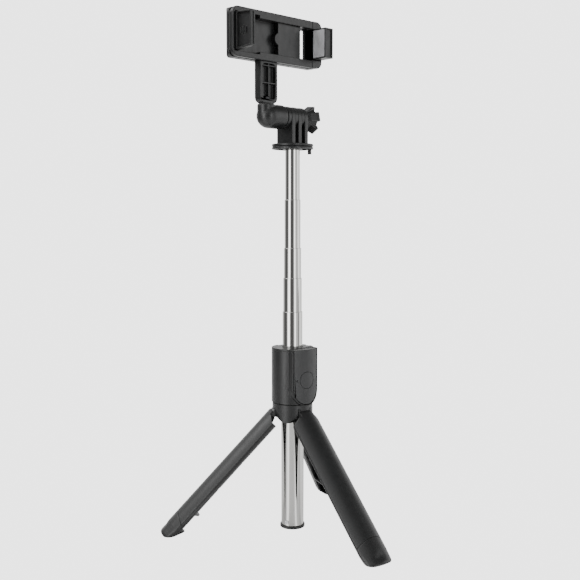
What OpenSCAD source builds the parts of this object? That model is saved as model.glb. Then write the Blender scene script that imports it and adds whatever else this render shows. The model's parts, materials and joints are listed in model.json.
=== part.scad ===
// Selfie stick with a fold-out tripod, a pull-out shutter remote and a
// sprung phone clamp. Origin: on the pole's axis, at the floor.
// +X is along the clamp, -Y is the side the phone faces, +Z is up.

/* [Pole] */
// Outside diameter of the thinnest tube
tube_od_thin = 10.0; // [9.8:0.1:10.2]
// Growth of the outside diameter from one sliding tube to the next
tube_od_step = 0.93; // [0.9:0.01:0.95]
// Outside diameter of the fixed outer tube
outer_od = 15.6; // [15.5:0.1:15.7]
// Wall of every tube
tube_wall = 0.35; // [0.25:0.05:0.35]
// Length of tube 5 that stands out of the housing
shown_5 = 24.6; // [10:0.1:60]
// Length of tube 4 that stands out of tube 5
shown_4 = 23.2; // [10:0.1:60]
// Length of tube 3 that stands out of tube 4
shown_3 = 20.6; // [10:0.1:60]
// Length of tube 2 that stands out of tube 3
shown_2 = 32.9; // [10:0.1:50]
// Length of tube 1 that stands out of tube 2
shown_1 = 34.2; // [10:0.1:50]

/* [Handle] */
// Radius of the round part of the housing
housing_r = 14.5; // [14.4:0.1:15]
// Height of the housing's underside above the floor
housing_z0 = 90.2; // [90:0.1:91]
// Height of the housing's top above the floor
housing_z1 = 128.3; // [128:0.1:132]
// Turn of the handle and tripod about the pole, seen from above
tripod_yaw = -5.6; // [-20:0.1:20]

/* [Tripod] */
// Radius of the hinge pins from the pole's axis
hinge_r = 11.4; // [11.3:0.1:11.6]
// Height of the hinge pins above the floor
hinge_z = 85.5; // [85:0.1:86]
// Angle of an open leg from the vertical
leg_splay = 43; // [40:0.5:46]
// Outer radius of a folded leg
leg_r = 14.2; // [14:0.1:14.4]
// Distance from a hinge pin to the top of the foot cap
foot_seam = 98; // [94:0.5:102]

/* [Head] */
// Height of the tilt pivot
pivot_z = 284.5; // [284:0.1:285]
// Radius of the head's flange
flange_r = 14.1; // [13.5:0.1:14.3]
// Thickness of a prong
prong_t = 3.0; // [2.8:0.05:3.1]
// Radius of the rounded end of a prong
prong_r = 7.5; // [7:0.1:7.6]
// Distance of the clamp's swivel axis from the pole's axis
post_x = 24.5; // [24:0.1:25]

/* [Clamp] */
// Left end of the clamp
clamp_x0 = -57.3; // [-57.4:0.1:-57]
// Right end of the clamp
clamp_x1 = 23.3; // [23.2:0.1:24]
// Underside of the clamp
clamp_z0 = 319.3; // [319:0.1:320]
// Height of the clamp
clamp_h = 31.3; // [31:0.1:32]
// Half of the clamp's thickness
clamp_v = 5.0; // [5:0.1:5.4]
// Distance that the left jaw stands forward of the middle
left_reach = 19.5; // [18:0.1:20]
// Distance that the right jaw stands forward of the middle
right_reach = 16.5; // [15:0.1:16.6]

/* [Hidden] */
$fn = 64;
e = 0.01;

// Colours
black = "#262728";
steel = "#b9bab8";
zinc = "#8f9092";
rubber = "#1a1a1b";
pad_grey = "#a6a7a9";

// Pole. Tube 1 is the thinnest and highest, tube 5 slides in the outer tube.
TUBES = 5;
fit = 0.06;
lip_h = 2.0;
outer_z0 = 3.0;
outer_z1 = 126.8;
plug_top = 8.0;
bush_h = 3.0;
spigot_h = 2.0;
collapse_gap = 0.4;
socket_h = 1.2;
shown = [shown_1, shown_2, shown_3, shown_4, shown_5];
function tube_r(k) = k > TUBES ? outer_od / 2 : (tube_od_thin + tube_od_step * (k - 1)) / 2;
function bore_r(k) = tube_r(k) - tube_wall;
function tube_top(k) = k > TUBES ? housing_z1 : tube_top(k + 1) + shown[k - 1];
function closed_top(k) = housing_z1 + 0.2 + 0.2 * (TUBES - k) + (k == 1 ? 0.3 : 0.2);
function closed_end(k) = k == TUBES
    ? plug_top + 0.5 + bush_h
    : closed_end(k + 1) + spigot_h + collapse_gap + bush_h;
function tube_end(k) = tube_top(k) - (closed_top(k) - closed_end(k));

// Handle
collar_r = 14.0;
collar_z0 = 77.3;
cap_h = 1.5;
boss_r = 25;
boss_front = 16.3;
boss_half = 11.1;
boss_zc = 100.3;
pocket_half = 10.3;
pocket_back = 8.7;
peg_r = 12.1;
peg_azimuth = -28;

// Remote
remote_half = 9.9;
remote_split = 11.45;
remote_wall = 1.2;
button_z = 107;
button_r = 5.7;
led_x = -7.7;
battery_z = 113;

// Tripod
leg_azimuths = [-90, 30, 150];
leg_wall = 1.5;
leg_gap = 0.2;
leg_inner_r = 9.0;
leg_top = 8.9;
leg_reach = 116.8;
corner_r = 2.0;
notch_w = 10.7;
arm_w = 10.1;
arm_t = 2.8;
knuckle_r = 1.9;
pin_r = 0.9;
pin_half = 6.4;
tongue_top = 3.2;
shoulder_top = 5.4;
shoulder_half = 6.8;
shoulder_foot = 11.2;
shoulder_gap = 0.4;
arm_l = 20;
arm_root = 2.2;
web_l = 90;
web_r = 0.9;
seam_arch_r = 22;
seam_gap = 0.06;
scoop_y = -3;

// Head
flange_z0 = tube_top(1);
flange_z1 = flange_z0 + 3.4;
bolt_r = 2.45;
prong_pitch = 6.05;
barrel_r = 8.0;
post_r = 5.9;
post_z1 = 292.0;
stem_floor = 2.6;
stem_back = -0.4;

// Clamp
clamp_zc = clamp_z0 + clamp_h / 2;
rail_z0 = clamp_z0 + 4.9;
rail_z1 = clamp_z0 + clamp_h - 5.2;
cover_y = 3.5;
frame_x1 = 14.15;
block_x0 = 14.3;
floor_y = 1.0;
jaw_floor_y = 0.2;
groove_y = 1.3;
groove_w = 1.4;
groove_d = 0.6;
slot_out = 2.2;
plate_y0 = -3.0;
plate_y1 = 0.6;
window_x = 5.5;
plate_x = -16.3;
plate_x1 = 4.4;
left_pin_x = clamp_x0 + 4.1;
jaw_pocket_x = -34.3;
jaw_root_h = 24;
jaw_tip_h = 22;
end_round = 5.5;
right_pin_x = 20.0;
jaw_pin_y = -2.5;
spring_off = 5.0;
spring_x0 = -14.2;
spring_x1 = 2.5;

// ---------- helpers ----------

// A box from one corner to the other
module box(low, high) {
    translate(low) cube(high - low);
}

// A ring or a disc along Z
module ring(r_out, r_in, z0, z1) {
    difference() {
        translate([0, 0, z0]) cylinder(h = z1 - z0, r = r_out);
        if (r_in > 0) translate([0, 0, z0 - 1]) cylinder(h = z1 - z0 + 2, r = r_in);
    }
}

// Stands a drawing of X and Z up, from y0 to y1
module along_y(y0, y1) {
    translate([0, y1, 0]) rotate([90, 0, 0]) linear_extrude(y1 - y0) children();
}

// Stands a drawing of Y and Z up, from x0 to x1
module along_x(x0, x1) {
    translate([x0, 0, 0]) rotate([90, 0, 90]) linear_extrude(x1 - x0) children();
}

module rod_x(r, x0, x1) {
    along_x(x0, x1) circle(r);
}

module rod_y(r, y0, y1) {
    along_y(y0, y1) circle(r);
}

module rounded_rect(x0, x1, z0, z1, r) {
    translate([x0 + r, z0]) square([x1 - x0 - 2 * r, z1 - z0]);
    translate([x0, z0 + r]) square([x1 - x0, z1 - z0 - 2 * r]);
    for (x = [x0 + r, x1 - r], z = [z0 + r, z1 - r]) translate([x, z]) circle(r);
}

// A wedge of the plane about +X, with its point at x = apex
module wedge(half_angle, apex) {
    reach = 60;
    far = [apex + reach * cos(half_angle), reach * sin(half_angle)];
    polygon([[apex, 0], [far[0], -far[1]], far]);
}

// A panel with parallel sides and a half-round lower end
module u_shape(half, z_top) {
    translate([0, boss_zc]) circle(half);
    translate([-half, boss_zc]) square([2 * half, z_top - boss_zc]);
}

module in_tripod() {
    rotate([0, 0, tripod_yaw]) children();
}

// ---------- pole ----------

// A tube whose top is rolled in to guide the next thinner one
module lipped_tube(k, z0, z1) {
    guide = tube_r(k - 1) + fit;
    rotate_extrude() polygon([[bore_r(k), z0], [tube_r(k), z0], [tube_r(k), z1],
        [guide, z1], [guide, z1 - lip_h], [bore_r(k), z1 - lip_h]]);
}

module sliding_tube(k) {
    color(steel) if (k > 1) lipped_tube(k, tube_end(k), tube_top(k));
    else ring(tube_r(k), bore_r(k), tube_end(k), tube_top(k) + socket_h);
}

// A sleeve that guides the tube's lower end, with a spigot inside the tube
module sliding_bush(k) {
    z = tube_end(k);
    hole = bore_r(k) - 1.2;
    color(rubber) rotate_extrude() polygon([[hole, z - bush_h], [bore_r(k + 1) - fit, z - bush_h],
        [bore_r(k + 1) - fit, z], [bore_r(k) - 0.02, z], [bore_r(k) - 0.02, z + spigot_h],
        [hole, z + spigot_h]]);
}

module outer_tube() {
    color(steel) difference() {
        lipped_tube(TUBES + 1, outer_z0, outer_z1);
        in_screw_place() rod_x(0.9, 3, 12);
    }
}

module in_screw_place() {
    rotate([0, 0, -165]) translate([0, 0, 5.6]) children();
}

module tube_end_cap() {
    color(black) difference() {
        rotate_extrude() polygon([[0, 0.9], [8.35, 0.9], [8.65, 1.2], [8.65, outer_z0],
            [bore_r(TUBES + 1) - 0.02, outer_z0], [bore_r(TUBES + 1) - 0.02, plug_top], [0, plug_top]]);
        in_screw_place() rod_x(0.8, 3, 12);
    }
}

module end_cap_screw() {
    color(zinc) in_screw_place() difference() {
        union() {
            rod_x(0.8, 3, 7.9);
            rod_x(1.3, outer_od / 2 + 0.02, 8.4);
        }
        for (a = [0, 90]) rotate([a, 0, 0]) box([8.15, -0.9, -0.15], [8.5, 0.9, 0.15]);
    }
}

module tube_plug() {
    color(black) ring(bore_r(1) - 0.02, 1.27, flange_z0 - 18.5, flange_z0 - 12.1);
}

// ---------- handle ----------

// Plan of the housing: round, with a shallow curved boss in front
module housing_plan(half) {
    circle(housing_r);
    intersection() {
        translate([-half, -boss_front - 1]) square([2 * half, boss_front + 1]);
        translate([0, boss_r - boss_front]) circle(boss_r);
    }
}

module peg_hole() {
    rotate([0, 0, peg_azimuth - tripod_yaw]) translate([peg_r, 0, housing_z1 - 4.5])
        cylinder(h = 6, r = 1.7);
}

module housing_shell() {
    z1 = housing_z1 - cap_h;
    color(black) in_tripod() difference() {
        union() {
            ring(housing_r, 0, housing_z0, z1);
            intersection() {
                translate([0, 0, boss_zc - boss_half - 1])
                    linear_extrude(z1 - boss_zc + boss_half + 1) housing_plan(boss_half + 1);
                along_y(-20, -4) u_shape(boss_half, z1);
            }
        }
        ring(outer_od / 2 + 0.03, 0, housing_z0 - 5, z1 + 1);
        ring(collar_r + 0.35, 0, housing_z0 - 5, housing_z0);
        along_y(-20, -pocket_back) u_shape(pocket_half, z1 + 2);
        // hollow behind the pole, closed by the top cap
        intersection() {
            ring(housing_r - 1.8, outer_od / 2 + 1.5, 100, z1 + 1);
            box([-20, -3, 99], [20, 20, z1 + 1]);
        }
        collar_screw_holes(0.95);
        peg_hole();
    }
}

module housing_top() {
    color(black) in_tripod() difference() {
        translate([0, 0, housing_z1 - cap_h]) linear_extrude(cap_h) housing_plan(boss_half);
        ring(tube_r(5) + 0.35, 0, housing_z1 - 5, housing_z1 + 1);
        along_y(-20, -pocket_back) u_shape(pocket_half, housing_z1 + 2);
        peg_hole();
        for (a = [0, 90]) rotate([0, 0, a])
            box([housing_r - 1.8, -2.4, housing_z1 - 1.1], [housing_r + 1, 2.4, housing_z1 + 1]);
    }
}

module collar_screw_holes(r) {
    for (a = leg_azimuths) rotate([0, 0, a + 60]) translate([11.2, 0, collar_z0 + 2.6])
        cylinder(h = 17, r = r);
}

module leg_collar() {
    color(black) in_tripod() difference() {
        ring(collar_r, outer_od / 2 + 0.03, collar_z0, housing_z0);
        for (a = leg_azimuths) rotate([0, 0, a]) {
            box([8.5, -notch_w / 2, collar_z0 - 1], [16, notch_w / 2, hinge_z - 0.1]);
            translate([hinge_r, 0, hinge_z]) rod_y(knuckle_r + 0.3, -notch_w / 2, notch_w / 2);
            translate([hinge_r, 0, hinge_z]) rod_y(pin_r, -pin_half, pin_half);
            along_x(8.5, 16) shoulder_outline(shoulder_gap);
        }
        ring(collar_r + 1, collar_r - 0.7, housing_z0 - 0.45, housing_z0 + 1);
        collar_screw_holes(1.1);
        for (a = leg_azimuths) rotate([0, 0, a + 60]) translate([11.2, 0, collar_z0 - 1])
            cylinder(h = 4.6, r = 2.0);
    }
}

module collar_screws() {
    color(zinc) in_tripod() for (a = leg_azimuths) rotate([0, 0, a + 60])
        translate([11.2, 0, collar_z0 + 2.2]) {
            cylinder(h = 14.5, r = 0.95);
            difference() {
                cylinder(h = 1.4, r = 1.8);
                for (t = [0, 90]) rotate([0, 0, t]) box([-1.2, -0.2, -1], [1.2, 0.2, 0.6]);
            }
        }
}

module hinge_pin(i) {
    color(zinc) in_tripod() rotate([0, 0, leg_azimuths[i]])
        translate([hinge_r, 0, hinge_z]) rod_y(pin_r, -pin_half, pin_half);
}

// ---------- tripod legs, drawn folded about +X ----------

module leg_place(i) {
    in_tripod() rotate([0, 0, leg_azimuths[i]]) translate([hinge_r, 0, hinge_z])
        rotate([0, -leg_splay, 0]) translate([-hinge_r, 0, -hinge_z]) children();
}

// Points along an arc, from angle a0 to angle a1
function arc(centre, r, a0, a1, steps) =
    [for (i = [0 : steps]) centre + r * [cos(a0 + (a1 - a0) * i / steps), sin(a0 + (a1 - a0) * i / steps)]];

// Section of a solid leg: a third of a disc with rounded outer corners
module leg_section(r) {
    turn = 60 - asin((corner_r + leg_gap * sin(60)) / (r - corner_r));
    mid = (r - corner_r) * [cos(turn), sin(turn)];
    polygon(concat([[leg_gap, 0]], arc([mid[0], -mid[1]], corner_r, -150, -turn, 8),
        arc([0, 0], r, -turn + 2, turn - 2, 40), arc(mid, corner_r, turn, 150, 8)));
}

// Section of a leg filled in from the radius r_in outwards
module leg_filled(r_in) {
    difference() {
        leg_section(leg_r);
        circle(r_in);
    }
}

// Section of the hollow inside a leg's wall
module leg_hollow(wall) {
    intersection() {
        circle(leg_r - wall);
        wedge(60, leg_gap + wall / sin(60));
    }
}

// Section of a leg: the solid one, hollowed and open towards the pole
module leg_channel(wall) {
    difference() {
        leg_section(leg_r);
        leg_hollow(wall);
        circle(leg_inner_r);
    }
}

module leg_slice(l0, l1) {
    translate([0, 0, hinge_z - l1]) linear_extrude(l1 - l0) children();
}

// Front view of the leg's sloping shoulders, in Y and Z, grown by gap
module shoulder_outline(gap) {
    top = hinge_z - shoulder_top + gap;
    low = hinge_z - leg_top + gap;
    polygon([[-shoulder_foot - gap, low - 30], [-shoulder_foot - gap, low], [-shoulder_half - gap, top],
        [shoulder_half + gap, top], [shoulder_foot + gap, low], [shoulder_foot + gap, low - 30]]);
}

// A rod across the leg whose top is the arched seam of the foot cap
module seam_rod(gap) {
    translate([0, 0, hinge_z - foot_seam - gap - seam_arch_r]) rod_x(seam_arch_r, -2, 20);
}

module above_ground() {
    box([-150, -150, 0], [150, 150, 150]);
}

module leg_arm(i) {
    color(black) leg_place(i) difference() {
        union() {
            translate([hinge_r, 0, hinge_z]) rod_y(knuckle_r, -arm_w / 2, arm_w / 2);
            box([hinge_r - arm_t / 2, -arm_w / 2, hinge_z - arm_l],
                [hinge_r + arm_t / 2, arm_w / 2, hinge_z]);
            box([leg_inner_r, -arm_w / 2, hinge_z - leg_top], [hinge_r, arm_w / 2, hinge_z - arm_root]);
        }
        translate([hinge_r, 0, hinge_z]) rod_y(pin_r + 0.05, -8, 8);
    }
}

module arm_slot() {
    translate([hinge_r - arm_t / 2 - 0.05, -arm_w / 2 - 0.05]) square([arm_t + 0.1, arm_w + 0.1]);
}

// The shell is a stack of slices: a block that grips the hinge arm, the open
// channel, ribs across it, and a web that closes it under the pole's end
module leg_shell(i) {
    block_l = 24;
    ribs = [42, 66];
    rib_t = 1.2;
    seam_low = foot_seam + 12;
    color(black) leg_place(i) difference() {
        union() {
            leg_slice(tongue_top, leg_top) intersection() {
                leg_section(leg_r);
                translate([hinge_r + arm_t / 2 + 0.05, -arm_w / 2]) square([5, arm_w]);
            }
            // rounded shoulder, which folds into a recess of the collar
            intersection() {
                leg_slice(shoulder_top, leg_top) difference() {
                    leg_filled(leg_inner_r);
                    translate([0, -20]) square([leg_inner_r, 40]);
                    translate([0, -arm_w / 2 - 0.05]) square([hinge_r + arm_t / 2 + 0.05, arm_w + 0.1]);
                }
                along_x(0, 20) shoulder_outline(0);
            }
            leg_slice(leg_top, arm_l + 0.05) difference() {
                leg_filled(leg_inner_r);
                arm_slot();
            }
            leg_slice(arm_l + 0.05, block_l) leg_filled(leg_inner_r);
            leg_slice(block_l, ribs[0]) leg_channel(leg_wall);
            leg_slice(ribs[0], ribs[0] + rib_t) leg_filled(leg_inner_r + 0.6);
            leg_slice(ribs[0] + rib_t, ribs[1]) leg_channel(leg_wall);
            leg_slice(ribs[1], ribs[1] + rib_t) leg_filled(leg_inner_r + 0.6);
            leg_slice(ribs[1] + rib_t, web_l) leg_channel(leg_wall);
            leg_slice(web_l, web_l + 1.5) leg_filled(web_r);
            leg_slice(web_l + 1.5, seam_low) leg_channel(leg_wall);
        }
        seam_rod(0);
    }
}

module foot_scoop() {
    translate([leg_r - 1.6, scoop_y - 3.4, hinge_z - 110.2]) rotate([0, -14, 0])
        box([0, 0, -7], [5, 6.8, 0]);
}

module leg_foot(i) {
    foot_wall = 2.4;
    middle = foot_seam + 12;
    spigot_l = 3;
    color(rubber) intersection() {
        leg_place(i) difference() {
            union() {
                intersection() {
                    leg_slice(foot_seam - 1, middle) leg_channel(foot_wall);
                    seam_rod(seam_gap);
                }
                leg_slice(middle, leg_reach) leg_channel(foot_wall);
                // spigot inside the shell
                leg_slice(foot_seam - spigot_l, middle) difference() {
                    leg_hollow(leg_wall + 0.05);
                    leg_hollow(foot_wall);
                    circle(leg_inner_r);
                }
            }
            foot_scoop();
        }
        above_ground();
    }
    color(rubber) intersection() {
        leg_place(i) leg_slice(foot_seam + 2, leg_reach) leg_filled(1.4);
        box([-150, -150, 0], [150, 150, 1.8]);
    }
}

// ---------- remote ----------

module remote_front(r) {
    translate([0, boss_r - boss_front, 80]) cylinder(h = 60, r = r, $fn = 240);
}

module remote_case() {
    z1 = housing_z1 - 0.3;
    color(black) in_tripod() difference() {
        intersection() {
            along_y(-20, -remote_split) u_shape(remote_half, z1);
            remote_front(boss_r - 0.2);
        }
        intersection() {
            along_y(-20, -remote_split + 1) u_shape(remote_half - 1, z1 - 1);
            remote_front(boss_r - 0.2 - remote_wall);
        }
        translate([0, 0, button_z]) rod_y(button_r + 0.15, -20, -10);
        translate([led_x, 0, button_z]) rod_y(0.55, -20, -10);
    }
}

module remote_back() {
    z1 = housing_z1 - 0.3;
    color(black) in_tripod() difference() {
        along_y(-remote_split + 0.02, -9.0) u_shape(remote_half, z1);
        along_y(-remote_split - 1, -10.0) u_shape(remote_half - 1, z1 - 1);
        translate([0, 0, battery_z]) rod_y(8.3, -11, -8);
    }
}

module remote_battery_door() {
    color(black) in_tripod() translate([0, 0, battery_z]) difference() {
        rod_y(8.2, -10.0, -9.0);
        box([-4, -9.4, -0.5], [4, -8, 0.5]);
    }
}

module remote_battery() {
    color(zinc) in_tripod() translate([0, 0, battery_z]) {
        rod_y(8.0, -12.2, -10.05);
        rod_y(6.8, -12.6, -12.2);
    }
}

module remote_board() {
    color("darkgreen") in_tripod() {
        along_y(-13.5, -12.7) u_shape(7.5, housing_z1 - 1.6);
        translate([0, 0, button_z]) rod_y(2.2, -13.75, -13.5);
    }
}

module remote_led() {
    color("white") in_tripod() translate([led_x, 0, button_z]) rod_y(0.5, -14.8, -13.52);
}

module remote_button() {
    color(black) in_tripod() union() {
        intersection() {
            translate([0, 0, button_z]) rod_y(button_r, -20, -14.2);
            remote_front(boss_r - 0.25);
        }
        box([-2, -14.7, button_z - 6.6], [2, -14.2, button_z + 6.6]);
    }
}

// ---------- head ----------

module prong_side(r) {
    translate([0, pivot_z]) circle(r);
    translate([-r, flange_z1 - 1]) square([2 * r, pivot_z - flange_z1 + 1]);
}

module head_clevis() {
    color(black) difference() {
        union() {
            ring(flange_r, 0, flange_z0, flange_z1);
            for (s = [-1, 0, 1])
                along_x(s * prong_pitch - prong_t / 2, s * prong_pitch + prong_t / 2) prong_side(prong_r);
            // spigot inside the top tube
            ring(bore_r(1) - 0.03, 0, flange_z0 - 12, flange_z0 + e);
        }
        // groove round the flange
        ring(flange_r + 1, flange_r - 0.5, flange_z0 + 1.3, flange_z0 + 1.9);
        // hollow underside, with a rim, a hub and a boss for the peg
        difference() {
            ring(flange_r - 1.2, 6.8, flange_z0 - 1, flange_z0 + 1.2);
            rotate([0, 0, peg_azimuth]) translate([peg_r, 0, flange_z0 - 2]) cylinder(h = 4, r = 2.1);
        }
        ring(tube_r(1) + 0.05, bore_r(1) - 0.03, flange_z0 - 1, flange_z0 + 1.5);
        rotate([0, 0, peg_azimuth]) translate([peg_r, 0, flange_z0 - 1]) cylinder(h = 3, r = 1.3);
        translate([0, 0, flange_z0 - 13]) cylinder(h = 8, r = 1.2);
        translate([0, 0, pivot_z]) rod_x(bolt_r + 0.15, -10, 10);
    }
}

module locating_peg() {
    color(black) rotate([0, 0, peg_azimuth]) translate([peg_r, 0, flange_z0 - 3.2])
        cylinder(h = 5.1, r = 1.29);
}

module pan_screw() {
    color(zinc) {
        translate([0, 0, flange_z0 - 19]) cylinder(h = 13, r = 1.19);
        translate([0, 0, flange_z0 - 20.4]) cylinder(h = 1.8, r = 2.3);
    }
}

module slot_spacers() {
    t = prong_pitch - prong_t - 0.1;
    color(black) for (s = [-1, 1]) translate([s * prong_pitch / 2, 0, pivot_z]) difference() {
        rod_x(prong_r - 0.1, -t / 2, t / 2);
        rod_x(bolt_r + 0.1, -5, 5);
    }
}

module elbow_arm() {
    corner_x = -(post_x + post_r - barrel_r);
    color(black) difference() {
        union() {
            translate([0, 0, pivot_z]) rod_x(barrel_r, corner_x, -11.4);
            translate([0, 0, pivot_z]) rod_x(6.5, -12, -10.55);
            translate([corner_x, 0, pivot_z]) sphere(barrel_r);
            translate([-post_x, 0, pivot_z]) cylinder(h = post_z1 - pivot_z, r = post_r);
        }
        // flat seat for the clamp
        translate([-post_x, 0, post_z1]) cylinder(h = 3, r = barrel_r + 0.2);
        translate([0, 0, pivot_z]) rod_x(bolt_r + 0.1, -23.6, -5);
        translate([-21.6, 0, pivot_z]) nut_blank(4.7, 4.1);
        translate([-post_x, 0, post_z1 - 5.3]) cylinder(h = 6, r = 1.25);
    }
}

module nut_blank(r, h) {
    rotate([0, 90, 0]) cylinder(h = h, r = r, $fn = 6);
}

module hex_nut() {
    color(zinc) difference() {
        translate([-21.55, 0, pivot_z]) nut_blank(4.62, 4.0);
        translate([0, 0, pivot_z]) rod_x(bolt_r + 0.05, -30, -5);
    }
}

module pivot_washer() {
    color(black) difference() {
        translate([0, 0, pivot_z]) rod_x(7.5, -10.5, -7.85);
        translate([0, 0, pivot_z]) rod_x(bolt_r + 0.1, -12, -5);
    }
}

module swivel_washer() {
    color(rubber) translate([-post_x, 0, 0]) ring(5.2, 1.4, post_z1 + 0.02, post_z1 + 0.4);
}

module swivel_screw() {
    color(zinc) translate([-post_x, 0, 0]) difference() {
        union() {
            ring(1.25, 0, post_z1 - 5.2, post_z1 + 4);
            ring(2.3, 0, post_z1 + 3.25, post_z1 + 4.6);
        }
        for (t = [0, 90]) rotate([0, 0, t])
            box([-1.4, -0.25, post_z1 + 4.1], [1.4, 0.25, post_z1 + 7]);
    }
}

module clamp_bolt() {
    color(zinc) translate([0, 0, pivot_z]) rod_x(bolt_r, -23.2, 12);
}

module clamp_knob() {
    lobes = 5;
    first_lobe = 5;
    lobe_w = 6.4;
    color(black) translate([0, 0, pivot_z]) difference() {
        union() {
            translate([7.8, 0, 0]) rotate([0, 90, 0]) cylinder(h = 8.8, r1 = 5, r2 = 7.8);
            for (i = [0 : lobes - 1]) rotate([first_lobe + 360 / lobes * i, 0, 0])
                along_y(-lobe_w / 2, lobe_w / 2) polygon([[8.8, 0], [8.8, 5.2], [12, 6.4], [15, 8.3],
                    [16.4, 9.3], [17.6, 9.2], [18, 8], [17.2, 5], [16.8, 0]]);
        }
        rod_x(bolt_r - e, 7, 12);
    }
}

// ---------- phone clamp ----------

module clamp_outline() {
    rounded_rect(clamp_x0, clamp_x1, clamp_z0, clamp_z0 + clamp_h, 4.6);
}

// Plan of the clamp, rounded at the back of its left end
module clamp_plan() {
    translate([clamp_x0 + end_round, -clamp_v]) square([clamp_x1 - clamp_x0 - end_round, 2 * clamp_v]);
    translate([clamp_x0, -clamp_v]) square([end_round, 2 * clamp_v - end_round]);
    translate([clamp_x0 + end_round, clamp_v - end_round]) circle(end_round);
}

// Groove round the clamp's edge
module edge_groove() {
    along_y(-groove_y - groove_w / 2, -groove_y + groove_w / 2) difference() {
        translate([clamp_x0 - 1, clamp_z0 - 1]) square([clamp_x1 - clamp_x0 + 2, clamp_h + 2]);
        rounded_rect(clamp_x0 + groove_d, clamp_x1 - groove_d, clamp_z0 + groove_d,
            clamp_z0 + clamp_h - groove_d, 4);
    }
}

module in_clamp_plan() {
    intersection() {
        translate([0, 0, clamp_z0 - 1]) linear_extrude(clamp_h + 2) clamp_plan();
        children();
    }
}

module frame_side(x) {
    intersection() {
        clamp_outline();
        translate([clamp_x0 - 1, clamp_z0 - 1]) square([x - clamp_x0 + 1, clamp_h + 2]);
    }
}

module clamp_frame() {
    color(black) difference() {
        union() {
            difference() {
                in_clamp_plan() along_y(-clamp_v, cover_y) frame_side(frame_x1);
                // taller pocket that the left jaw folds into
                box([clamp_x0 + 1.6, -clamp_v - 1, clamp_zc - jaw_root_h / 2 - 0.3],
                    [jaw_pocket_x, jaw_floor_y, clamp_zc + jaw_root_h / 2 + 0.3]);
                // front recess between the rails
                box([jaw_pocket_x - 1, -clamp_v - 1, rail_z0], [frame_x1 + 1, floor_y, rail_z1]);
                // slots for the slider's edges, behind the rails
                box([plate_x - 0.4, plate_y0 - 0.3, clamp_z0 + slot_out],
                    [frame_x1 + 1, floor_y, clamp_z0 + clamp_h - slot_out]);
            }
            // posts that hold the springs
            for (s = [-1, 1]) box([spring_x0 - 1, -1.5, clamp_zc + s * spring_off - 0.6],
                [spring_x0, floor_y + e, clamp_zc + s * spring_off + 0.6]);
        }
        // window for the folded jaw
        box([window_x - 0.3, 0, rail_z0 + 0.3], [frame_x1 + 1, cover_y + 1, rail_z1 - 0.3]);
        translate([left_pin_x, jaw_pin_y, clamp_z0 + 1.7]) cylinder(h = clamp_h - 3.4, r = pin_r);
        edge_groove();
        clamp_screw_places() rod_y(0.9, -2, cover_y + 1);
    }
}

module clamp_screw_places() {
    for (x = [-47, -27], z = [clamp_z0 + 2.5, clamp_z0 + clamp_h - 2.5]) translate([x, 0, z]) children();
}

module clamp_back() {
    color(black) difference() {
        in_clamp_plan() along_y(cover_y, clamp_v) frame_side(frame_x1);
        box([window_x - 0.3, 0, rail_z0 + 0.3], [frame_x1 + 1, clamp_v + 1, rail_z1 - 0.3]);
        clamp_screw_places() rod_y(1.0, 0, clamp_v + 1);
        clamp_screw_places() rod_y(1.8, clamp_v - 1.0, clamp_v + 1);
    }
}

module clamp_screws() {
    color(zinc) clamp_screw_places() difference() {
        union() {
            rod_y(0.88, -1.8, clamp_v - 0.8);
            rod_y(1.65, clamp_v - 1.0 + 0.02, clamp_v - 0.1);
        }
        for (t = [0, 90]) rotate([0, t, 0]) box([-1.1, clamp_v - 0.6, -0.18], [1.1, clamp_v + 1, 0.18]);
    }
}

module clamp_stem() {
    x0 = -post_x - 7.5;
    x1 = -post_x + 7.5;
    z0 = post_z1 + 0.6;
    color(black) difference() {
        along_y(-3, 3) union() {
            rounded_rect(x0, x1, z0, z0 + 20, 3.6);
            translate([x0, z0 + 8]) square([15, clamp_z0 - z0 - 8]);
        }
        // channel open to the front, with ribs left in it
        difference() {
            along_y(-4, stem_back) rounded_rect(x0 + 1.7, x1 - 1.7, z0 + stem_floor, clamp_z0 - 1.2, 2.5);
            box([-post_x - 0.4, -2.6, z0 + stem_floor + 2.3], [-post_x + 0.4, 2, clamp_z0]);
            for (z = [305.6, 316.7]) box([x0, -2.6, z - 0.5], [x1, 2, z + 0.5]);
        }
        translate([-post_x, 0, z0 - 1]) cylinder(h = 6, r = 1.35);
        translate([-post_x, 0, z0 + stem_floor - 0.1]) cylinder(h = 2.2, r = 2.7);
    }
}

// Side view of the left jaw, in Y and Z, shrunk by gap all round
module left_jaw_side(gap, y0, y1) {
    root = jaw_root_h / 2 - gap;
    tip = jaw_tip_h / 2 - gap;
    polygon([[y0, -tip], [y1, -root], [y1, root], [y0, tip]]);
}

module left_jaw() {
    x0 = left_pin_x - 2;
    x1 = left_pin_x + 1.4;
    color(black) translate([0, 0, clamp_zc]) difference() {
        union() {
            along_x(x0, x1) left_jaw_side(0, -left_reach, jaw_pin_y);
            translate([left_pin_x, jaw_pin_y, -jaw_root_h / 2]) cylinder(h = jaw_root_h, r = 1.9);
        }
        // hollow outer face, with short ribs left in it
        difference() {
            along_x(x0 - 1, x0 + 1.8) left_jaw_side(1.2, -left_reach + 1.3, -6.2);
            for (i = [-1, 0, 1]) translate([0, -11 + 2.2 * i, 0])
                box([x0 + 0.9, -0.25, -3.4 + abs(i)], [x0 + 2, 0.25, 2.6 - abs(i)]);
        }
        // slot along the front edge
        box([x0 + 1.2, -left_reach - 1, -jaw_tip_h / 2 + 1.2],
            [x0 + 2.3, -left_reach + 0.6, jaw_tip_h / 2 - 1.2]);
        translate([left_pin_x, jaw_pin_y, -15]) cylinder(h = 30, r = pin_r + 0.05);
    }
}

module left_jaw_pad() {
    x1 = left_pin_x + 1.4;
    color(rubber) translate([0, 0, clamp_zc]) along_x(x1 + 0.02, x1 + 1)
        left_jaw_side(1.4, -left_reach + 1, -5.6);
}

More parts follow.
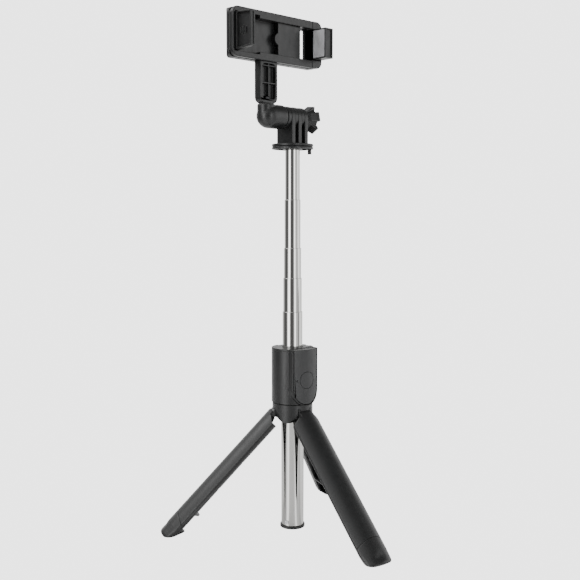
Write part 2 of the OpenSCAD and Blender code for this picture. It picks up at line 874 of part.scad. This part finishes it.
module jaw_pin(x) {
    color(zinc) translate([x, jaw_pin_y, clamp_z0 + 1.75]) cylinder(h = clamp_h - 3.5, r = pin_r - 0.01);
}

module clamp_slider() {
    color(black) difference() {
        union() {
            // plate with a wavy left edge, and its two edges that run on to the block
            along_y(plate_y0, plate_y1) {
                translate([plate_x, clamp_z0 + slot_out + 0.3])
                    square([plate_x1 - plate_x, clamp_h - 2 * slot_out - 0.6]);
                translate([plate_x + 1.1, clamp_zc]) circle(4);
            }
            for (z = [clamp_z0 + slot_out + 0.3, rail_z1 + 0.1])
                box([plate_x1 - 1, plate_y0, z], [block_x0 + 1, plate_y1, z + 2.6]);
            // block that carries the jaw
            intersection() {
                along_y(-clamp_v, clamp_v) clamp_outline();
                box([block_x0, -10, clamp_z0 - 1], [30, 10, clamp_z0 + clamp_h + 1]);
            }
        }
        box([block_x0 - 5, -clamp_v - 1, rail_z0 + 0.5], [clamp_x1 - 0.9, 3.2, rail_z1 - 0.1]);
        for (s = [-1, 1]) box([plate_x - 1, -2.1, clamp_zc + s * spring_off - 1.6],
            [spring_x1, 1, clamp_zc + s * spring_off + 1.6]);
        translate([right_pin_x, jaw_pin_y, clamp_z0 + 1.7]) cylinder(h = clamp_h - 3.4, r = pin_r);
        edge_groove();
    }
}

module slider_springs() {
    color(zinc) for (s = [-1, 1]) translate([0, -0.75, clamp_zc + s * spring_off]) difference() {
        rod_x(1.2, spring_x0 + 0.05, spring_x1 - 0.05);
        rod_x(0.8, spring_x0, spring_x1);
    }
}

module right_jaw() {
    z0 = rail_z0 + 0.8;
    z1 = rail_z1 - 0.4;
    x0 = 15.8;
    x1 = 22.1;
    color(black) difference() {
        union() {
            box([x0, -right_reach, z0], [x1, -5.2, z1]);
            box([18.2, -6, z0], [x1, jaw_pin_y, z1]);
            translate([right_pin_x, jaw_pin_y, z0]) cylinder(h = z1 - z0, r = 2.1);
            // border round the pad
            difference() {
                box([x0 - 1.2, -right_reach, z0], [x0 + e, -5.2, z1]);
                box([x0 - 2, -right_reach + 0.9, z0 + 0.9], [x0 + 1, -4, z1 - 0.9]);
            }
        }
        // recess in the front edge, hollow in the outer side
        box([x0 + 0.2, -right_reach - 1, z0 + 1], [x1 - 0.8, -right_reach + 1, z1 - 1]);
        box([x0 + 1.5, -right_reach + 2.2, z0 + 1.6], [x1 + 1, -6.4, z1 - 1.6]);
        translate([right_pin_x, jaw_pin_y, z0 - 1]) cylinder(h = 30, r = pin_r + 0.05);
    }
}

module right_jaw_pad() {
    ribs = 12;
    z0 = rail_z0 + 0.8 + 0.95;
    z1 = rail_z1 - 0.4 - 0.95;
    y0 = -right_reach + 0.95;
    pitch = (-5.2 - y0) / ribs;
    color(pad_grey) difference() {
        box([14.65, y0, z0], [15.78, -5.2, z1]);
        for (i = [1 : ribs - 1]) translate([0, y0 + pitch * i, 0])
            box([14, -0.12, z0 + 0.6], [14.8, 0.12, z1 - 0.6]);
    }
}

outer_tube();
tube_end_cap();
end_cap_screw();
housing_shell();
housing_top();
leg_collar();
collar_screws();
hinge_pin(0);  // hinge_pin_1
hinge_pin(1);  // hinge_pin_2
hinge_pin(2);  // hinge_pin_3
leg_arm(0);  // leg_arm_1
leg_arm(1);  // leg_arm_2
leg_arm(2);  // leg_arm_3
leg_shell(0);  // leg_shell_1
leg_shell(1);  // leg_shell_2
leg_shell(2);  // leg_shell_3
leg_foot(0);  // leg_foot_1
leg_foot(1);  // leg_foot_2
leg_foot(2);  // leg_foot_3
remote_case();
remote_back();
remote_battery_door();
remote_battery();
remote_board();
remote_led();
remote_button();
sliding_tube(5);  // tube_5
sliding_tube(4);  // tube_4
sliding_tube(3);  // tube_3
sliding_tube(2);  // tube_2
sliding_tube(1);  // tube_1
sliding_bush(5);  // bush_5
sliding_bush(4);  // bush_4
sliding_bush(3);  // bush_3
sliding_bush(2);  // bush_2
sliding_bush(1);  // bush_1
tube_plug();
head_clevis();
locating_peg();
pan_screw();
slot_spacers();
elbow_arm();
pivot_washer();
hex_nut();
swivel_screw();
swivel_washer();
clamp_bolt();
clamp_knob();
clamp_stem();
clamp_frame();
clamp_back();
clamp_screws();
left_jaw();
left_jaw_pad();
jaw_pin(left_pin_x);  // left_jaw_pin
clamp_slider();
slider_springs();
right_jaw();
right_jaw_pad();
jaw_pin(right_pin_x);  // right_jaw_pin
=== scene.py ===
"""The looks of a selfie stick with tripod legs, built around its CAD frame.

Everything is in metres in the row's frame: +Z runs up the pole, +X along the
phone clamp, and -Y is the side that the phone faces.
"""
import json
from math import cos, pi, radians, sin

import bmesh
import bpy
from mathutils import Matrix, Vector
from mathutils.bvhtree import BVHTree


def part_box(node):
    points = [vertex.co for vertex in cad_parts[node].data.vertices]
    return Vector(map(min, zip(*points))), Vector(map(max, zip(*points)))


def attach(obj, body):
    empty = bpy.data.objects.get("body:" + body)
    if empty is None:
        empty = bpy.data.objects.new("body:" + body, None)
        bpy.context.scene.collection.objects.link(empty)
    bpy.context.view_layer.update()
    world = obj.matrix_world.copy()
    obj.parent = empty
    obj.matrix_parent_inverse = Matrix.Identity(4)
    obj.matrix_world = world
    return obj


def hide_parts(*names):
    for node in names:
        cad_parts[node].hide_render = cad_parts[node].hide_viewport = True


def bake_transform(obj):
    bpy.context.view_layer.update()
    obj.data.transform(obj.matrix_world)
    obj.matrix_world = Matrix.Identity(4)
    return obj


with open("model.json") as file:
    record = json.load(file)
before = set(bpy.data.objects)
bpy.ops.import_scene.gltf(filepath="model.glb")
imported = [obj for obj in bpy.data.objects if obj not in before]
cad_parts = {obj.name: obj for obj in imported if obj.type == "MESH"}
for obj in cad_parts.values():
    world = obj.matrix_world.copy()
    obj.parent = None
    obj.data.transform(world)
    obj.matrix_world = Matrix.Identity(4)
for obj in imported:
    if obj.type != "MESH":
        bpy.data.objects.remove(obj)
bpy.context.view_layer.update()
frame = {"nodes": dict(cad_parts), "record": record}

MM = 0.001
TRIPOD_YAW = radians(-5.6)
LEG_AZIMUTHS = [TRIPOD_YAW + radians(a) for a in (-90, 30, 150)]
HINGE = Vector((0.0114, 0, 0.0855))
LEG_SPLAY = radians(43)
# The clamp's lower and upper face and its left end
CLAMP_BOTTOM = 0.3193
CLAMP_TOP = 0.3506
CLAMP_LEFT = -0.0566
# Corners sharper than this many degrees are rounded; vertices farther from the old surface than this many
# widths of the rounding are strays
CORNER = 28
STRAY = 0.6
# The wide rounding on a leg's shoulder and the soft toe of its foot, in mm on the folded leg
SHOULDER_OUT = 9.3
SHOULDER_START = 5.2
SHOULDER_END = 9.2
TOE_START = 106
TOE_BLEND = 5
BODY_OF = {node: body for body, nodes in frame["record"]["behaviour"]["bodies"].items() for node in nodes}
SLOT_OF = {s["node"]: s["material_slot"] for s in frame["record"]["subparts"]}


# ---------- node helpers ----------

class Nodes:
    """Builds one material's node tree in short calls."""

    def __init__(self, name):
        self.material = bpy.data.materials.new(name)
        self.material.use_nodes = True
        self.tree = self.material.node_tree
        self.shader = self.tree.nodes["Principled BSDF"]

    def add(self, kind, **values):
        node = self.tree.nodes.new("ShaderNode" + kind)
        for key, value in values.items():
            setattr(node, key, value)
        return node

    def link(self, out, into):
        self.tree.links.new(out, into)

    def place(self, scale=(1, 1, 1)):
        """Object coordinates, stretched by scale."""
        coords = self.add("TexCoord")
        mapping = self.add("Mapping")
        mapping.inputs["Scale"].default_value = scale
        self.link(coords.outputs["Object"], mapping.inputs["Vector"])
        return mapping.outputs["Vector"]

    def noise(self, scale, detail=3, stretch=(1, 1, 1), rough=0.5):
        node = self.add("TexNoise")
        node.inputs["Scale"].default_value = scale
        node.inputs["Detail"].default_value = detail
        node.inputs["Roughness"].default_value = rough
        self.link(self.place(stretch), node.inputs["Vector"])
        return node.outputs["Fac"]

    def ramp(self, value, stops):
        """A colour ramp of (position, colour) stops."""
        node = self.add("ValToRGB")
        elements = node.color_ramp.elements
        while len(elements) < len(stops):
            elements.new(0.5)
        for element, (position, colour) in zip(elements, stops):
            element.position = position
            element.color = (*colour, 1)
        self.link(value, node.inputs["Fac"])
        return node.outputs["Color"]

    def spread(self, value, low, high, start=0.3, end=0.7):
        """Maps a texture's value to the range low..high."""
        node = self.add("MapRange")
        for key, number in zip(("From Min", "From Max", "To Min", "To Max"), (start, end, low, high)):
            node.inputs[key].default_value = number
        self.link(value, node.inputs["Value"])
        return node.outputs["Result"]

    def bump(self, height, depth):
        """Bump of the given depth in metres."""
        node = self.add("Bump")
        node.inputs["Strength"].default_value = 1
        node.inputs["Distance"].default_value = depth
        self.link(height, node.inputs["Height"])
        return node.outputs["Normal"]

    def set(self, **values):
        """Uniform numbers go straight on the shader's own sockets."""
        for key, value in values.items():
            self.shader.inputs[key.replace("_", " ")].default_value = value


def scaled(colour, factor):
    return tuple(c * factor for c in colour)


# ---------- materials ----------

def moulded(name, colour, roughness=0.4, grain=0.006, grain_scale=3800):
    """Injection-moulded plastic: fine spark-eroded grain, slow mottling and faint scuffs."""
    m = Nodes(name)
    mottle = m.noise(90, 4)
    m.link(m.ramp(mottle, [(0.3, scaled(colour, 0.86)), (0.7, scaled(colour, 1.14))]),
           m.shader.inputs["Base Color"])
    scuff = m.noise(420, 5, (1, 1, 0.35), 0.62)
    m.link(m.spread(scuff, roughness - 0.05, roughness + 0.07), m.shader.inputs["Roughness"])
    fine = m.noise(grain_scale, 2)
    m.link(m.bump(fine, grain * MM), m.shader.inputs["Normal"])
    m.set(IOR=1.5)
    return m.material


def drawn_steel(name, colour, roughness):
    """Polished stainless tube, with faint lines drawn along it and a slow cloud."""
    m = Nodes(name)
    m.set(Metallic=1.0)
    cloud = m.noise(60, 3, (1, 1, 0.5))
    m.link(m.ramp(cloud, [(0.25, scaled(colour, 0.93)), (0.75, colour)]), m.shader.inputs["Base Color"])
    lines = m.noise(2600, 2, (1, 1, 0.01))
    m.link(m.spread(lines, roughness * 0.7, roughness * 1.4), m.shader.inputs["Roughness"])
    m.link(m.bump(lines, 0.0012 * MM), m.shader.inputs["Normal"])
    return m.material


def plated(name, colour, roughness=0.3):
    """Zinc or nickel plating on small turned steel."""
    m = Nodes(name)
    m.set(Metallic=1.0)
    spots = m.noise(900, 4)
    m.link(m.ramp(spots, [(0.3, scaled(colour, 0.85)), (0.7, colour)]), m.shader.inputs["Base Color"])
    m.link(m.spread(spots, roughness - 0.06, roughness + 0.08), m.shader.inputs["Roughness"])
    m.link(m.bump(m.noise(2400, 3), 0.004 * MM), m.shader.inputs["Normal"])
    return m.material


def elastomer(name, colour, roughness=0.62):
    """Soft moulded rubber or silicone: dry, with a fine stipple."""
    m = Nodes(name)
    m.link(m.ramp(m.noise(140, 4), [(0.3, scaled(colour, 0.88)), (0.7, scaled(colour, 1.1))]),
           m.shader.inputs["Base Color"])
    stipple = m.noise(2600, 3)
    m.link(m.spread(stipple, roughness - 0.06, roughness + 0.08), m.shader.inputs["Roughness"])
    m.link(m.bump(stipple, 0.01 * MM), m.shader.inputs["Normal"])
    return m.material


def circuit_board():
    """Green solder mask with paler tracks under it."""
    m = Nodes("circuit_board")
    wave = m.add("TexWave", wave_type="BANDS", bands_direction="X")
    wave.inputs["Scale"].default_value = 260
    wave.inputs["Distortion"].default_value = 2.5
    m.link(m.place(), wave.inputs["Vector"])
    m.link(m.ramp(wave.outputs["Fac"], [(0.62, (0.02, 0.13, 0.06)), (0.7, (0.05, 0.24, 0.11))]),
           m.shader.inputs["Base Color"])
    m.link(m.spread(m.noise(300), 0.25, 0.4), m.shader.inputs["Roughness"])
    return m.material


BLACK = (0.0085, 0.0088, 0.009)
MATERIALS = {
    "steel_tube": drawn_steel("steel_tube", (0.66, 0.655, 0.635), 0.075),
    "body_plastic": moulded("body_plastic", BLACK, 0.36),
    "knob_plastic": moulded("knob_plastic", scaled(BLACK, 1.1), 0.26),
    "remote_plastic": moulded("remote_plastic", scaled(BLACK, 3.0), 0.44),
    "foot_plastic": elastomer("foot_plastic", scaled(BLACK, 0.95), 0.36),
    "bush_plastic": moulded("bush_plastic", (0.05, 0.05, 0.05), 0.5),
    "grip_pad": elastomer("grip_pad", (0.36, 0.36, 0.37), 0.55),
    "grip_rubber": elastomer("grip_rubber", (0.024, 0.024, 0.025), 0.7),
    "zinc_hardware": plated("zinc_hardware", (0.56, 0.56, 0.57)),
    "black_steel": plated("black_steel", (0.05, 0.05, 0.052), 0.4),
    "battery_steel": plated("battery_steel", (0.68, 0.68, 0.68), 0.25),
    "board_green": circuit_board(),
    "led_lens": moulded("led_lens", (0.012, 0.012, 0.014), 0.2, 0.002),
}


def coat(piece, slot):
    """Gives a piece one finish."""
    piece.data.materials.clear()
    piece.data.materials.append(MATERIALS[slot])


# ---------- mesh helpers ----------

def mesh_of(node):
    """A bmesh of a CAD node with its faces joined and its flat faces whole."""
    bm = bmesh.new()
    bm.from_mesh(frame["nodes"][node].data)
    bmesh.ops.remove_doubles(bm, verts=bm.verts, dist=2e-6)
    bmesh.ops.dissolve_degenerate(bm, dist=1e-6, edges=bm.edges)
    bmesh.ops.dissolve_limit(bm, angle_limit=radians(0.25), verts=bm.verts, edges=bm.edges)
    bmesh.ops.recalc_face_normals(bm, faces=bm.faces)
    return bm


def is_corner(edge):
    return len(edge.link_faces) == 2 and edge.calc_face_angle(0) > radians(CORNER)


def round_edges(bm, width, chosen=None, segments=2):
    """Rounds the corner edges, or those of them that chosen(middle, edge) picks."""
    edges = [e for e in bm.edges if is_corner(e)]
    if chosen:
        edges = [e for e in edges if chosen((e.verts[0].co + e.verts[1].co) / 2, e)]
    if edges:
        before = BVHTree.FromBMesh(bm)
        bmesh.ops.bevel(bm, geom=edges, offset=width, offset_type="OFFSET", segments=segments, profile=0.5,
                        affect="EDGES", clamp_overlap=False, loop_slide=True)
        for vertex in bm.verts:
            nearest, _, _, gap = before.find_nearest(vertex.co)
            # a corner where roundings meet can throw a vertex off; a sound one stays near the old surface
            if gap > STRAY * width:
                vertex.co = nearest
        bmesh.ops.dissolve_degenerate(bm, dist=1e-6, edges=bm.edges)


def baked(piece):
    """Applies the piece's modifiers."""
    graph = bpy.context.evaluated_depsgraph_get()
    mesh = bpy.data.meshes.new_from_object(piece.evaluated_get(graph), depsgraph=graph)
    piece.modifiers.clear()
    piece.data = mesh
    return piece


def smooth(piece, sharp=38):
    """Shades a piece smooth, and keeps its flats flat by weighting normals with face area."""
    mesh = piece.data
    mesh.polygons.foreach_set("use_smooth", [True] * len(mesh.polygons))
    mesh.set_sharp_from_angle(angle=radians(sharp))
    weighted = piece.modifiers.new("flats", "WEIGHTED_NORMAL")
    weighted.keep_sharp = True
    return baked(piece)


def new_piece(name, bm):
    mesh = bpy.data.meshes.new(name)
    bm.to_mesh(mesh)
    bm.free()
    piece = bpy.data.objects.new(name, mesh)
    bpy.context.scene.collection.objects.link(piece)
    return piece


def install(piece, node):
    """Puts a finished piece in its node's place: same body, same slot."""
    coat(piece, SLOT_OF[node])
    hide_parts(node)
    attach(piece, BODY_OF[node])


def on_clamp_rim(middle, edge):
    """True for edges that run round the outside of the phone clamp."""
    near = 0.7 * MM
    return middle.z < CLAMP_BOTTOM + near or middle.z > CLAMP_TOP - near or middle.x < CLAMP_LEFT


def edged(node, width, first=()):
    """Puts in a node's shape with its edges rounded by width in mm. first holds wider (mm, test) passes."""
    bm = mesh_of(node)
    for wide, test in first:
        round_edges(bm, wide * MM, test, 4)
    round_edges(bm, width * MM)
    install(smooth(new_piece(node + "_moulded", bm)), node)


def melted(node, voxel, passes, soft=None, soft_passes=0):
    """Puts in a node's shape remeshed in voxels of the given mm and smoothed, as a soft moulding. soft(co),
    from 0 to 1, says where the soft_passes of extra smoothing act."""
    piece = new_piece(node + "_moulded", mesh_of(node))
    remesh = piece.modifiers.new("remesh", "REMESH")
    remesh.mode = "VOXEL"
    remesh.voxel_size = voxel * MM
    baked(piece)
    soften = piece.modifiers.new("soften", "SMOOTH")
    soften.factor = 0.5
    soften.iterations = passes
    if soft:
        group = piece.vertex_groups.new(name="soft")
        for vertex in piece.data.vertices:
            group.add([vertex.index], soft(vertex.co), "REPLACE")
        more = piece.modifiers.new("soften_more", "SMOOTH")
        more.factor = 0.5
        more.iterations = soft_passes
        more.vertex_group = group.name
    baked(piece)
    install(smooth(piece, 80), node)


def along_leg(i):
    """Gives (outward, down) in mm of a point of the open leg i, measured on the leg folded down at +X."""
    to_world = (Matrix.Rotation(LEG_AZIMUTHS[i - 1], 4, "Z") @ Matrix.Translation(HINGE)
                @ Matrix.Rotation(-LEG_SPLAY, 4, "Y"))
    back = to_world.inverted()

    def place(co):
        local = back @ co / MM
        return local.x + HINGE.x / MM, -local.z

    return place


def coil(bm, start, end, radius, wire, turns):
    """Adds a coil spring that winds round the line from start to end, which runs along +X."""
    sides = 6
    steps = turns * 16
    rings = []
    for k in range(steps + 1):
        angle = 2 * pi * turns * k / steps
        outward = Vector((0, cos(angle), sin(angle)))
        middle = start.lerp(end, k / steps) + radius * outward
        ring = []
        for j in range(sides):
            turn = 2 * pi * j / sides
            ring.append(bm.verts.new(middle + wire * Vector((sin(turn), *(cos(turn) * outward.yz)))))
        rings.append(ring)
    for first, second in zip(rings, rings[1:]):
        for j in range(sides):
            bm.faces.new((first[j], first[j - 1], second[j - 1], second[j]))
    bm.faces.new(rings[0])
    bm.faces.new(rings[-1])


def make_springs():
    """The clamp's two springs as wound wire, which stretch between the frame and the slider."""
    low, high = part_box("slider_springs")
    wire, radius = 0.22 * MM, 0.97 * MM
    bm = bmesh.new()
    for z in (low[2] + radius + wire, high[2] - radius - wire):
        line = [Vector((x, (low[1] + high[1]) / 2, z)) for x in (low[0] + wire, high[0] - wire)]
        coil(bm, *line, radius, wire, 14)
    bmesh.ops.recalc_face_normals(bm, faces=bm.faces)
    springs = smooth(new_piece("slider_springs_wound", bm), 80)
    coat(springs, SLOT_OF["slider_springs"])
    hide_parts("slider_springs")
    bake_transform(springs)


# ---------- stage ----------

def make_floor():
    """A round pale floor. The camera sees it as white as what is behind it. Reflections see it lit, and also
    see
    painted pools of light: a glow painted on it in front of the studio's bright strips."""
    bpy.ops.mesh.primitive_circle_add(vertices=96, radius=FLOOR_RADIUS, fill_type="NGON")
    floor = bpy.context.object
    floor.name = "floor"
    m = Nodes("floor_white")
    m.set(Roughness=0.8)
    m.link(m.ramp(m.noise(3), [(0.3, (0.8, 0.8, 0.8)), (0.7, (0.83, 0.83, 0.83))]),
           m.shader.inputs["Base Color"])
    glow = m.add("Emission")
    glow.inputs["Strength"].default_value = WHITE
    path = m.add("LightPath")
    seen = m.add("MixShader")
    m.link(path.outputs["Is Camera Ray"], seen.inputs["Fac"])
    m.link(glow.outputs[0], seen.inputs[2])
    # painted pools of light: a glow on the floor, seen only in reflections, brightest in front of the bright
    # strips
    painted_pool_glow = m.add("Emission")
    pools = maths(m.tree, "MULTIPLY", shade_curve(m.tree, turn_of(m.tree, m.place()), STUDIO_BEARINGS), PAINTED_POOLS)
    m.link(maths(m.tree, "MULTIPLY", pools, path.outputs["Is Glossy Ray"]), painted_pool_glow.inputs["Strength"])
    lit = m.add("AddShader")
    m.link(m.shader.outputs[0], lit.inputs[0])
    m.link(painted_pool_glow.outputs[0], lit.inputs[1])
    m.link(lit.outputs[0], seen.inputs[1])
    m.link(seen.outputs[0], m.tree.nodes["Material Output"].inputs["Surface"])
    floor.data.materials.append(m.material)


# Brightness of the surroundings near eye level by compass bearing, as turns from 0 to 1. The bright
# strips stand where tall soft boxes would, and the steel tubes mirror them.
STUDIO_BEARINGS = [(0.000, 7.0), (0.022, 5.0), (0.048, 0.4), (0.070, 0.14), (0.110, 0.12), (0.160, 0.18),
                   (0.192, 1.6), (0.212, 5.5), (0.232, 2.2), (0.250, 1.0), (0.300, 0.9), (0.325, 0.32),
                   (0.350, 0.40), (0.385, 2.0), (0.440, 1.5), (0.520, 1.2), (0.620, 1.6), (0.740, 0.9),
                   (0.830, 0.16), (0.910, 0.12), (0.950, 0.4), (0.978, 4.0)]
# The same high above eye level, and the even level far below it
OVERHEAD_BEARINGS = [(0.00, 1.9), (0.08, 1.3), (0.18, 0.40), (0.40, 0.22), (0.55, 0.30), (0.72, 0.7),
                     (0.85, 1.7), (0.94, 2.1)]
UNDERFOOT = 0.4
# What the camera sees behind the object, and how much of a strip's brightness its painted pool of light on
# the floor has
WHITE = 3.2
PAINTED_POOLS = 0.3
FLOOR_RADIUS = 0.6


def shade_curve(tree, value, stops):
    """The level at value along (position, level) stops: a grey colour ramp scaled by its peak."""
    peak = max(level for _, level in stops)
    ramp = tree.nodes.new("ShaderNodeValToRGB")
    elements = ramp.color_ramp.elements
    while len(elements) < len(stops):
        elements.new(0.5)
    for element, (position, level) in zip(elements, stops):
        element.position = position
        element.color = (level / peak, level / peak, level / peak, 1)
    tree.links.new(value, ramp.inputs["Fac"])
    return maths(tree, "MULTIPLY", ramp.outputs["Color"], peak)


def maths(tree, operation, first, second=None):
    """A Math node; first and second are sockets or numbers."""
    node = tree.nodes.new("ShaderNodeMath")
    node.operation = operation
    for socket, value in zip(node.inputs, (first, second)):
        if isinstance(value, (int, float)):
            socket.default_value = value
        elif value is not None:
            tree.links.new(value, socket)
    return node.outputs[0]


def turn_of(tree, place):
    """The compass bearing of a place about +Z, as a turn from 0 to 1."""
    parts = tree.nodes.new("ShaderNodeSeparateXYZ")
    tree.links.new(place, parts.inputs[0])
    bearing = maths(tree, "ARCTAN2", parts.outputs["Y"], parts.outputs["X"])
    return maths(tree, "ADD", maths(tree, "DIVIDE", bearing, 2 * pi), 0.5)


def blend(tree, amount, low, high):
    """low where amount is 0, high where it is 1."""
    node = tree.nodes.new("ShaderNodeMix")
    for name, value in (("Factor", amount), ("A", low), ("B", high)):
        if isinstance(value, (int, float)):
            node.inputs[name].default_value = value
        else:
            tree.links.new(value, node.inputs[name])
    return node.outputs["Result"]


def fade(tree, value, start, end):
    """Rises smoothly from 0 at start to 1 at end."""
    node = tree.nodes.new("ShaderNodeMapRange")
    node.interpolation_type = "SMOOTHSTEP"
    node.inputs["From Min"].default_value = start
    node.inputs["From Max"].default_value = end
    tree.links.new(value, node.inputs["Value"])
    return node.outputs["Result"]


def make_world():
    """Soft studio surroundings: tall pale strips with darker gaps between. The camera sees plain white."""
    world = bpy.data.worlds.new("studio")
    bpy.context.scene.world = world
    world.use_nodes = True
    tree = world.node_tree
    background = tree.nodes["Background"]
    coords = tree.nodes.new("ShaderNodeTexCoord")
    parts = tree.nodes.new("ShaderNodeSeparateXYZ")
    tree.links.new(coords.outputs["Generated"], parts.inputs[0])
    turn = turn_of(tree, coords.outputs["Generated"])
    level = shade_curve(tree, turn, STUDIO_BEARINGS)
    above = shade_curve(tree, turn, OVERHEAD_BEARINGS)
    level = blend(tree, fade(tree, parts.outputs["Z"], 0.2, 0.6), level, above)
    level = blend(tree, fade(tree, parts.outputs["Z"], -0.3, -0.6), level, UNDERFOOT)
    tree.links.new(level, background.inputs["Strength"])
    background.inputs["Color"].default_value = (1, 1, 1, 1)
    path = tree.nodes.new("ShaderNodeLightPath")
    white = tree.nodes.new("ShaderNodeBackground")
    white.inputs["Color"].default_value = (1, 1, 1, 1)
    white.inputs["Strength"].default_value = WHITE
    mix = tree.nodes.new("ShaderNodeMixShader")
    tree.links.new(path.outputs["Is Camera Ray"], mix.inputs["Fac"])
    tree.links.new(background.outputs[0], mix.inputs[1])
    tree.links.new(white.outputs[0], mix.inputs[2])
    tree.links.new(mix.outputs[0], tree.nodes["World Output"].inputs["Surface"])


def soft_box(name, at, aim, size, power):
    light = bpy.data.lights.new(name, "AREA")
    light.shape = "RECTANGLE"
    light.size, light.size_y = size
    light.energy = power
    lamp = bpy.data.objects.new(name, light)
    lamp.location = at
    lamp.rotation_euler = (Vector(aim) - Vector(at)).to_track_quat("-Z", "Y").to_euler()
    bpy.context.scene.collection.objects.link(lamp)


def make_camera():
    data = bpy.data.cameras.new("camera")
    data.lens = 55.97
    data.sensor_width = 36
    data.clip_start = 0.01
    camera = bpy.data.objects.new("camera", data)
    camera.location = (-0.4357, -0.4409, 0.2204)
    camera.rotation_euler = (radians(85.14), 0, radians(-44.5))
    bpy.context.scene.collection.objects.link(camera)
    bpy.context.scene.camera = camera


make_camera()
make_world()
make_floor()
soft_box("key_light", (-0.75, 1.0, 1.3), (0, 0, 0.15), (0.9, 0.9), 7)
soft_box("fill_light", (0.9, -1.2, 0.6), (0, 0, 0.15), (0.6, 1.2), 2.5)

# ---------- pieces ----------

for node, width in {
    "housing_shell": 0.25, "housing_top": 0.2, "leg_collar": 0.25, "remote_case": 0.3, "remote_back": 0.15,
    "remote_button": 0.15, "tube_end_cap": 0.2,
    "clamp_back": 0.3, "clamp_slider": 0.3, "head_clevis": 0.3, "slot_spacers": 0.2, "pivot_washer": 0.2,
    "clamp_stem": 0.3, "left_jaw": 0.25, "right_jaw": 0.25, "left_jaw_pad": 0.2, "right_jaw_pad": 0.1,
    "outer_tube": 0.12, "tube_5": 0.25, "tube_4": 0.25, "tube_3": 0.25, "tube_2": 0.25, "tube_1": 0.1,
}.items():
    edged(node, width)

edged("clamp_frame", 0.3, [(0.7, on_clamp_rim)])

for i in (1, 2, 3):
    place = along_leg(i)

    def shoulder(middle, edge, place=place):
        downs = [place(v.co)[1] for v in edge.verts]
        return place(middle)[0] > SHOULDER_OUT and min(downs) > SHOULDER_START and max(downs) < SHOULDER_END

    def toe(co, place=place):
        return min(1, max(0, (place(co)[1] - TOE_START) / TOE_BLEND))

    edged(f"leg_shell_{i}", 0.3, [(0.6, shoulder)])
    edged(f"leg_arm_{i}", 0.3)
    melted(f"leg_foot_{i}", 0.4, 1, toe, 250)

melted("elbow_arm", 0.4, 6)
melted("clamp_knob", 0.3, 5)
make_springs()

for node in frame["nodes"]:
    if not frame["nodes"][node].hide_render:
        coat(frame["nodes"][node], SLOT_OF[node])
